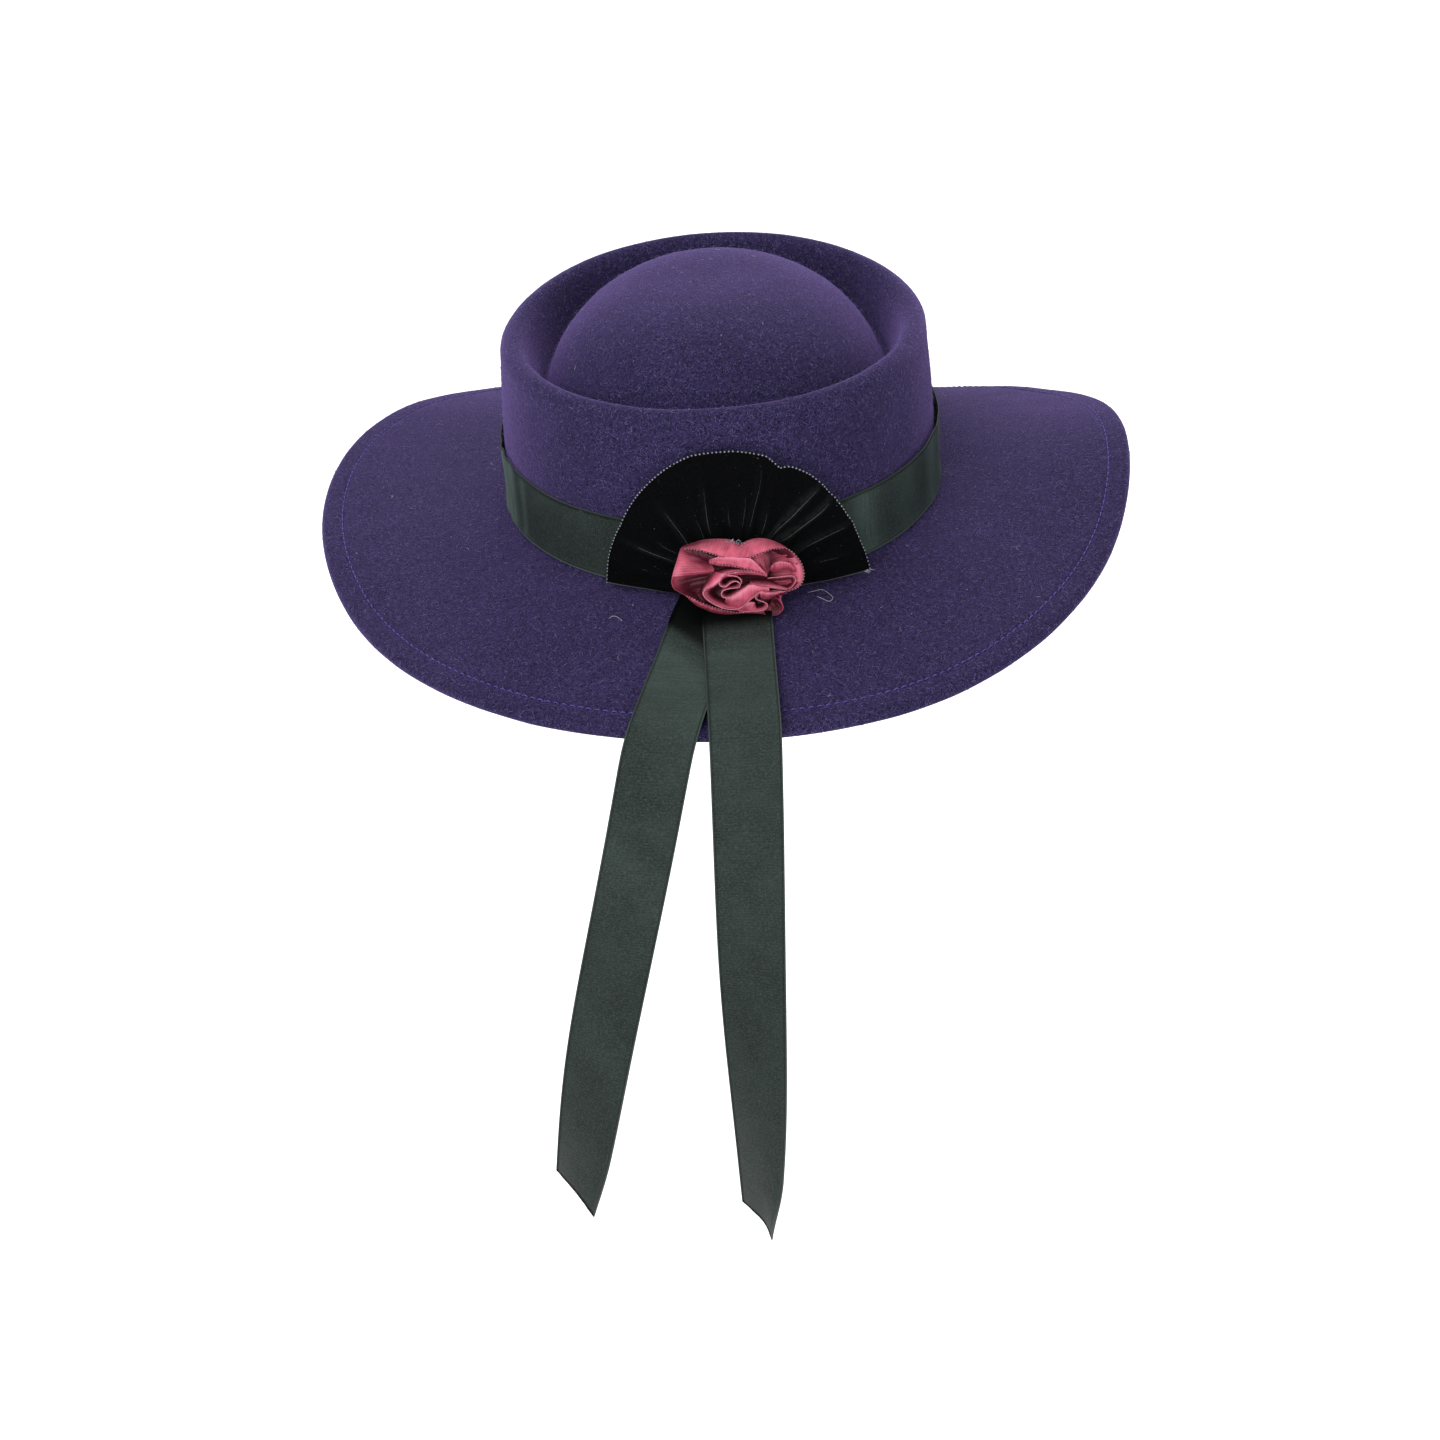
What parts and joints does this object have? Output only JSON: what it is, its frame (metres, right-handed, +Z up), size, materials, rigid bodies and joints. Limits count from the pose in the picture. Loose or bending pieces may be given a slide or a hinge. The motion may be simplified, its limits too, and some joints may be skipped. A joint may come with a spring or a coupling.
{
  "type": "wide-brim telescope-crown felt hat with ribbon rosette",
  "caption": "Wide-brim felt hat with a telescope crown, satin band, velvet cockade, ribbon rosette and two hanging ribbon tails.",
  "frame": {"origin": "middle of the head opening, in the plane where the brim leaves the crown", "axes": "+Z up through the crown, +Y to the wearer's front, +X to the wearer's right; the cockade and tails are at the back"},
  "size_m": [0.324, 0.371, 0.318],
  "materials": {
    "wool_felt": "blocked wool felt, indigo violet, matt with a short lighter nap",
    "satin_ribbon": "woven polyester satin, dark green grey, soft sheen",
    "velvet_ribbon": "cut-pile velvet, black, gathered",
    "rose_ribbon": "woven polyester satin, dusty rose, soft sheen"
  },
  "bodies": {
    "root": {"felt_body": "wool_felt", "hat_band": "satin_ribbon", "velvet_cockade": "velvet_ribbon", "ribbon_rosette": "rose_ribbon", "left_tail": "satin_ribbon", "right_tail": "satin_ribbon"}
  },
  "joints": []
}
